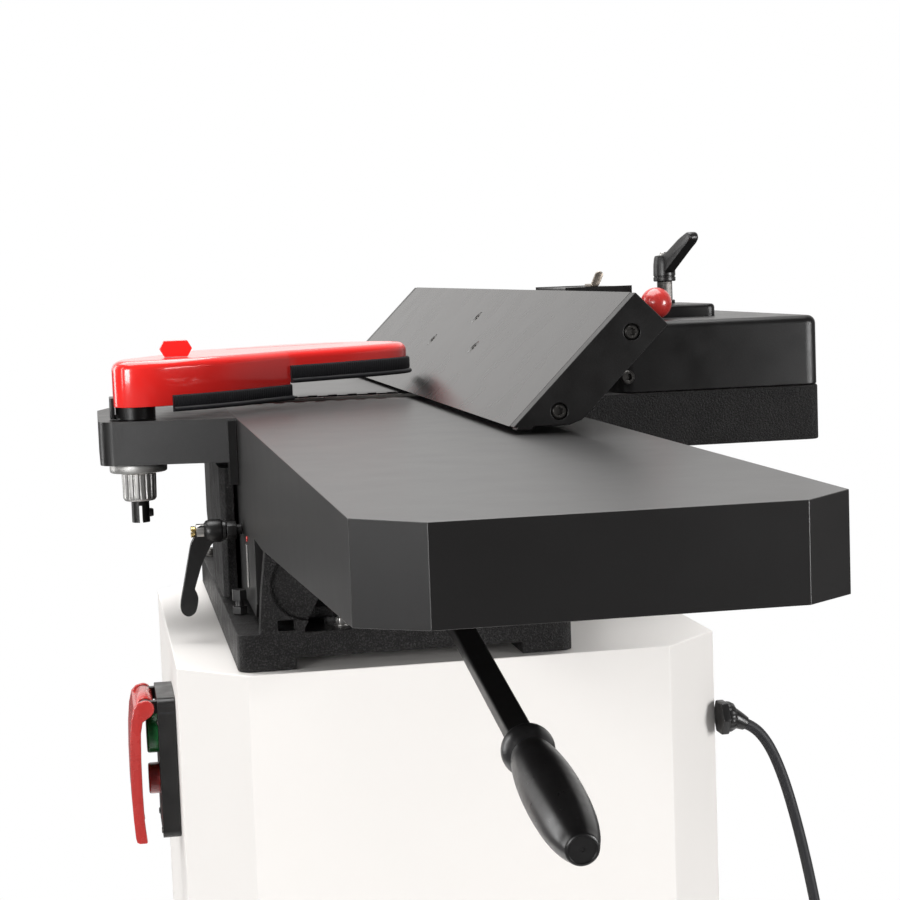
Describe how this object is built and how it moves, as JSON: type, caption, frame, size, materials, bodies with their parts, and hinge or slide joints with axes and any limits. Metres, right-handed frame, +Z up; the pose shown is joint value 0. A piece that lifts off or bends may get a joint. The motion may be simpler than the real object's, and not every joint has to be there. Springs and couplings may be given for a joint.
{
  "type": "surface planer",
  "caption": "Cabinet-stand surface planer with infeed and outfeed tables, cutterhead, tilting fence, swinging cutter guard and lever-lifted infeed table.",
  "frame": {"origin": "centre of the machine's footprint box, on the floor", "axes": "+Y along the tables in the feed direction, +X from the operator to the fence, +Z up"},
  "size_m": [0.572, 1.689, 0.9418],
  "materials": {
    "cabinet_white": "smooth satin off-white powder coat",
    "casting_black": "rough sand-cast iron, painted black",
    "table_grey": "satin machined and coated, dark grey",
    "painted_black": "satin black paint on smooth castings",
    "guard_red": "glossy red enamel",
    "plastic_black": "moulded, satin",
    "plastic_red": "moulded, glossy",
    "plastic_green": "moulded, glossy",
    "rubber": "matt, slightly dusty",
    "steel": "ground steel and plain sheet",
    "aluminium": "turned",
    "brass": "yellow-passivated screw"
  },
  "bodies": {
    "base": {"cabinet_shell": "cabinet_white", "levelling_foot_1": "rubber", "levelling_foot_2": "rubber", "levelling_foot_3": "rubber", "levelling_foot_4": "rubber", "chip_chute": "steel", "dust_port": "plastic_black", "base_casting": "casting_black", "bearing_block_left": "casting_black", "bearing_block_right": "casting_black", "outfeed_table": "table_grey", "outfeed_lip": "table_grey", "depth_stop_bolt": "plastic_black", "motor_body": "painted_black", "motor_shelf": "steel", "drive_belt": "rubber", "belt_guard": "painted_black", "lift_pivot_pin": "steel", "fence_support": "casting_black", "switch_housing": "plastic_black", "cable_gland": "plastic_black", "power_cord": "rubber", "cord_coil": "rubber", "plug": "plastic_black"},
    "infeed": {"infeed_table": "table_grey", "infeed_lip": "table_grey", "rabbet_ledge": "painted_black", "depth_scale": "steel"},
    "lift_lever": {"lift_lever": "painted_black", "lift_grip": "plastic_black"},
    "infeed_lock": {"infeed_lock_handle": "plastic_black", "infeed_lock_screw": "brass"},
    "cutterhead": {"cutterhead_drum": "steel", "knife_1": "steel", "knife_2": "steel", "knife_3": "steel", "cutterhead_pulley": "casting_black"},
    "motor_rotor": {"motor_shaft": "steel", "motor_pulley": "casting_black"},
    "guard": {"guard_casting": "guard_red", "guard_strip_lower": "rubber", "guard_strip_upper": "rubber", "guard_boss": "guard_red", "guard_shaft": "painted_black"},
    "guard_spring_knob": {"guard_spring_knob": "aluminium"},
    "fence_carriage": {"fence_carriage": "painted_black"},
    "fence": {"fence_plate": "table_grey", "fence_end_near": "painted_black", "fence_end_far": "painted_black", "fence_tilt_shoe": "casting_black"},
    "slide_lock": {"slide_lock_handle": "plastic_black"},
    "tilt_lock": {"tilt_lock_lever": "steel", "tilt_lock_ball": "plastic_red"},
    "index_stop": {"index_stop_lever": "steel"},
    "stop_paddle": {"stop_paddle": "plastic_red"},
    "start_button": {"start_button": "plastic_green"},
    "stop_button": {"stop_button": "plastic_red"},
    "cabinet_door": {"cabinet_door": "cabinet_white"},
    "door_latch": {"door_latch": "plastic_black"}
  },
  "joints": [
    {"name": "infeed_slide", "type": "slide", "parent": "base", "child": "infeed", "axis": [0, -0.9659, -0.2588], "range_m": [-0.004, 0.012]},
    {"name": "lift_lever_swing", "type": "hinge", "parent": "base", "child": "lift_lever", "pos_m": [-0.06, -0.2045, 0.7172], "axis": [-1, 0, 0], "range_deg": [-3.4, 10.1]},
    {"name": "infeed_lock_turn", "type": "hinge", "parent": "infeed", "child": "infeed_lock", "pos_m": [-0.208, -0.1815, 0.7313], "axis": [1, 0, 0], "range_deg": [-60, 60]},
    {"name": "cutterhead_spin", "type": "hinge", "parent": "base", "child": "cutterhead", "pos_m": [-0.07, 0.0095, 0.7765], "axis": [1, 0, 0], "continuous": true},
    {"name": "motor_spin", "type": "hinge", "parent": "base", "child": "motor_rotor", "pos_m": [-0.07, -0.1445, 0.273], "axis": [1, 0, 0], "continuous": true},
    {"name": "guard_swing", "type": "hinge", "parent": "infeed", "child": "guard", "pos_m": [-0.2575, -0.1225, 0.813], "axis": [0, 0, 1], "range_deg": [0, 75], "stiffness_Nm_per_rad": 0.6, "springref_deg": -34.38},
    {"name": "guard_spring_knob_turn", "type": "hinge", "parent": "infeed", "child": "guard_spring_knob", "pos_m": [-0.2575, -0.1225, 0.765], "axis": [0, 0, 1], "range_deg": [-180, 180]},
    {"name": "fence_slide", "type": "slide", "parent": "base", "child": "fence_carriage", "axis": [1, 0, 0], "range_m": [0, 0.05]},
    {"name": "fence_tilt", "type": "hinge", "parent": "fence_carriage", "child": "fence", "pos_m": [-0.0243, -0.0145, 0.8319], "axis": [0, -1, 0], "range_deg": [0, 45]},
    {"name": "slide_lock_turn", "type": "hinge", "parent": "fence_carriage", "child": "slide_lock", "pos_m": [0.2, 0.0055, 0.913], "axis": [0, 0, 1], "range_deg": [-90, 90]},
    {"name": "tilt_lock_turn", "type": "hinge", "parent": "fence_carriage", "child": "tilt_lock", "pos_m": [0.102, -0.0825, 0.875], "axis": [0, -1, 0], "range_deg": [0, 60]},
    {"name": "index_stop_turn", "type": "hinge", "parent": "fence_carriage", "child": "index_stop", "pos_m": [0.122, -0.0445, 0.9003], "axis": [0, 0, 1], "range_deg": [0, 90]},
    {"name": "stop_paddle_swing", "type": "hinge", "parent": "base", "child": "stop_paddle", "pos_m": [-0.2635, -0.1845, 0.6085], "axis": [0, 1, 0], "range_deg": [-5, 90]},
    {"name": "start_button_press", "type": "slide", "parent": "base", "child": "start_button", "axis": [1, 0, 0], "range_m": [0, 0.003], "stiffness_N_per_m": 300},
    {"name": "stop_button_press", "type": "slide", "parent": "base", "child": "stop_button", "axis": [1, 0, 0], "range_m": [0, 0.003], "stiffness_N_per_m": 300},
    {"name": "cabinet_door_swing", "type": "hinge", "parent": "base", "child": "cabinet_door", "pos_m": [0.151, 0.0985, 0.278], "axis": [0, 0, 1], "range_deg": [0, 110]},
    {"name": "door_latch_turn", "type": "hinge", "parent": "cabinet_door", "child": "door_latch", "pos_m": [0.155, -0.2385, 0.278], "axis": [1, 0, 0], "range_deg": [0, 90]}
  ],
  "couplings": [
    {"joint": "lift_lever_swing", "follows": "infeed_slide", "rad_per_m": 14.54},
    {"joint": "motor_spin", "follows": "cutterhead_spin", "ratio": 0.6253}
  ]
}
